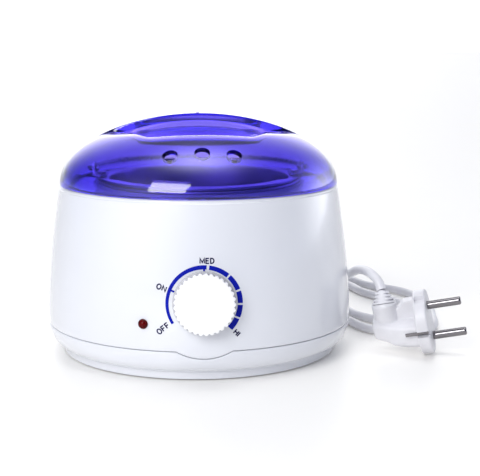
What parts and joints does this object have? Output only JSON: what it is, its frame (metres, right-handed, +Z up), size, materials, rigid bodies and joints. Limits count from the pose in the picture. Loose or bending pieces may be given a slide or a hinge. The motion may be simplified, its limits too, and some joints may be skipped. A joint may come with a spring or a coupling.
{
  "type": "wax warmer pot",
  "caption": "Electric wax warmer with a heated well, a lift-out pot with a bail, a domed translucent lid with a scooped grip, a dial, a lamp and a mains cord with a plug.",
  "frame": {"origin": "on the pot's axis, on the surface that its four feet stand on", "axes": "+Z up; the dial faces -Y; the mains cord leaves at +Y and its plug lies at +X"},
  "size_m": [0.2442, 0.2917, 0.1357],
  "materials": {
    "white_plastic": "gloss",
    "knob_plastic": "satin",
    "lid_plastic": "clear tinted gloss",
    "well_aluminium": "spun satin",
    "pot_aluminium": "spun satin",
    "steel": "zinc plated",
    "chrome": "polished nickel",
    "rubber": "matte",
    "lamp_lens": "clear red gloss",
    "lamp_glass": "clear",
    "mica": "layered mica sheet",
    "fibre": "woven glass fibre",
    "phenolic": "moulded",
    "ceramic": "unglazed ceramic",
    "cord_plastic": "satin flexible sheath",
    "wire_red": "wire sheath",
    "wire_blue": "wire sheath",
    "dial_ink": "printed ink"
  },
  "bodies": {
    "housing": {"base_screw_1": "steel", "base_screw_2": "steel", "base_screw_3": "steel", "base_screw_4": "steel", "base_shell": "white_plastic", "body_shell": "white_plastic", "bridge_screw_1": "steel", "bridge_screw_2": "steel", "clamp_screw_1": "steel", "clamp_screw_2": "steel", "cord_clamp": "phenolic", "core_live": "wire_red", "core_neutral": "wire_blue", "foot_1": "rubber", "foot_2": "rubber", "foot_3": "rubber", "foot_4": "rubber", "fuse_clip": "steel", "heater_band": "mica", "heater_clamp_screw": "steel", "heater_well": "well_aluminium", "indicator_lamp": "lamp_glass", "indicator_lens": "lamp_lens", "insulation_sleeve": "fibre", "lamp_lead_1": "wire_red", "lamp_retainer": "steel", "mains_cord": "cord_plastic", "plug_body": "cord_plastic", "plug_earth_clip_1": "chrome", "plug_earth_clip_2": "chrome", "plug_pin_1": "chrome", "plug_pin_2": "chrome", "plug_relief": "cord_plastic", "strain_relief": "cord_plastic", "support_bridge": "steel", "terminal_block": "ceramic", "terminal_screw_1": "steel", "terminal_screw_2": "steel", "terminal_screw_3": "steel", "thermal_fuse": "ceramic", "thermostat_body": "phenolic", "thermostat_nut": "steel", "well_nut": "steel", "well_stud": "steel", "wire_fuse": "wire_red", "wire_heater_live": "wire_red", "wire_heater_neutral": "wire_blue", "wire_thermostat": "wire_red"},
    "dial": {"control_knob": "knob_plastic", "thermostat_shaft": "steel"},
    "lift_pot": {"inner_pot": "pot_aluminium", "pot_ear_left": "steel", "pot_ear_right": "steel", "pot_rivet_left": "pot_aluminium", "pot_rivet_right": "pot_aluminium"},
    "bail": {"pot_bail": "steel"},
    "lid": {"lid": "lid_plastic"}
  },
  "joints": [
    {"name": "dial_turn", "type": "hinge", "parent": "housing", "child": "dial", "pos_m": [0, -0.08648, 0.0435], "axis": [0, 0.9963, -0.0861], "range_deg": [0, 256]},
    {"name": "pot_lift", "type": "slide", "parent": "housing", "child": "lift_pot", "axis": [0, 0, 1], "range_m": [0, 0.09]},
    {"name": "lid_lift", "type": "slide", "parent": "lift_pot", "child": "lid", "axis": [0, 0, 1], "range_m": [0, 0.1]},
    {"name": "bail_swing", "type": "hinge", "parent": "lift_pot", "child": "bail", "pos_m": [0, 0, 0.1025], "axis": [1, 0, 0], "range_deg": [0, 90]}
  ],
  "couplings": [
    {"joint": "bail_swing", "follows": "lid_lift", "rad_per_m": 15.5}
  ]
}
